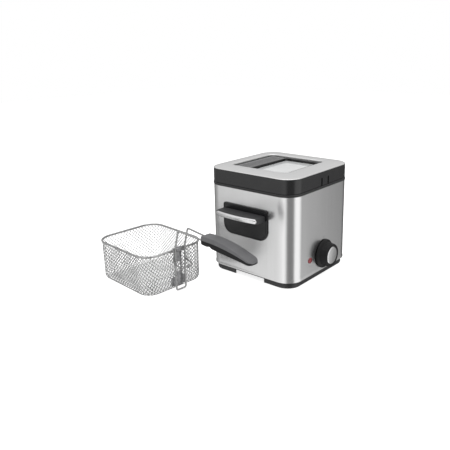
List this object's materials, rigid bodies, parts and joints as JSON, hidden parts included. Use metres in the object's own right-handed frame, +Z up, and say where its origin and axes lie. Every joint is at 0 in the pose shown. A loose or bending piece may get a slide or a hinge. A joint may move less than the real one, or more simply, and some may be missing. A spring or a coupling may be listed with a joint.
{
  "type": "deep fryer",
  "caption": "Compact square deep fryer in brushed steel with a lift-off windowed lid, a thermostat knob and side handles, and its wire frying basket with a folding handle beside it.",
  "frame": {"origin": "under the middle of the whole set, on the surface it stands on", "axes": "+Z up; the fryer's knob faces -Y; the basket stands at -X"},
  "size_m": [0.4234, 0.3658, 0.2126],
  "materials": {
    "brushed_steel": "vertical brushed grain",
    "trim_steel": "fine brushed",
    "bright_sheet": "plain sheet",
    "cast_alloy": "as cast",
    "element_sheath": "heat-darkened",
    "screw_zinc": "zinc plated",
    "plated_wire": "bright nickel plating",
    "bracket_steel": "dull pressed sheet",
    "bowl_coating": "non-stick coating with fine speckle",
    "black_plastic": "fine satin grain",
    "gloss_black": "semi-gloss",
    "grip_top": "satin",
    "grille_grey": "satin grey",
    "rubber": "matt",
    "silicone": "soft matt",
    "window_glass": "clear",
    "lamp_red": "translucent red",
    "ceramic_white": "glazed off-white",
    "lead_sleeve": "woven glass sleeve",
    "filter_felt": "matted fibre"
  },
  "bodies": {
    "appliance": {"outer_shell": "brushed_steel", "top_collar": "black_plastic", "base_pan": "black_plastic", "foot_pad_1": "rubber", "foot_pad_2": "rubber", "foot_pad_3": "rubber", "foot_pad_4": "rubber", "base_screw_1": "screw_zinc", "base_screw_2": "screw_zinc", "base_screw_3": "screw_zinc", "base_screw_4": "screw_zinc", "oil_bowl": "bowl_coating", "bowl_seal": "silicone", "heater_plate": "cast_alloy", "heating_element": "element_sheath", "heat_shield": "bright_sheet", "thermostat_bracket": "bright_sheet", "thermostat_body": "ceramic_white", "sensor_bulb": "element_sheath", "thermal_cutout": "ceramic_white", "cord_gland": "rubber", "pilot_lens": "lamp_red", "pilot_holder": "black_plastic", "terminal_block": "ceramic_white", "switch_lead": "lead_sleeve", "heater_lead": "lead_sleeve", "handle_plate_left": "gloss_black", "handle_bar_left": "black_plastic", "handle_trim_left": "trim_steel", "handle_screw_left_1": "screw_zinc", "handle_screw_left_2": "screw_zinc", "handle_plate_right": "gloss_black", "handle_bar_right": "black_plastic", "handle_trim_right": "trim_steel", "handle_screw_right_1": "screw_zinc", "handle_screw_right_2": "screw_zinc"},
    "control": {"knob": "black_plastic", "knob_cap": "trim_steel", "thermostat_spindle": "bright_sheet"},
    "lid": {"lid_rim": "black_plastic", "lid_top_plate": "brushed_steel", "window_tray": "gloss_black", "window_glass": "window_glass", "filter_grille": "grille_grey", "filter_pad": "filter_felt", "lid_liner": "bright_sheet", "lid_screw_1": "screw_zinc", "lid_screw_2": "screw_zinc", "lid_screw_3": "screw_zinc", "lid_screw_4": "screw_zinc"},
    "basket": {"basket_mesh": "plated_wire", "basket_rim": "plated_wire", "basket_bracket": "bracket_steel", "handle_pin": "plated_wire"},
    "basket_handle": {"handle_frame": "plated_wire", "drain_hook": "plated_wire", "grip_upper": "grip_top", "grip_lower": "black_plastic", "grip_screw": "screw_zinc"}
  },
  "joints": [
    {"name": "lid_lift", "type": "slide", "parent": "appliance", "child": "lid", "axis": [0, 0, 1], "range_m": [0, 0.12]},
    {"name": "knob_turn", "type": "hinge", "parent": "appliance", "child": "control", "pos_m": [0.08119, -0.16072, 0.045], "axis": [0, 1, 0], "range_deg": [0, 270]},
    {"name": "basket_lift", "type": "slide", "parent": "appliance", "child": "basket", "axis": [0, 0, 1], "range_m": [0, 0.25]},
    {"name": "handle_fold", "type": "hinge", "parent": "basket", "child": "basket_handle", "pos_m": [-0.14252, 0.0085, 0.081], "axis": [-0.9976, 0.0698, 0], "range_deg": [0, 100]}
  ]
}
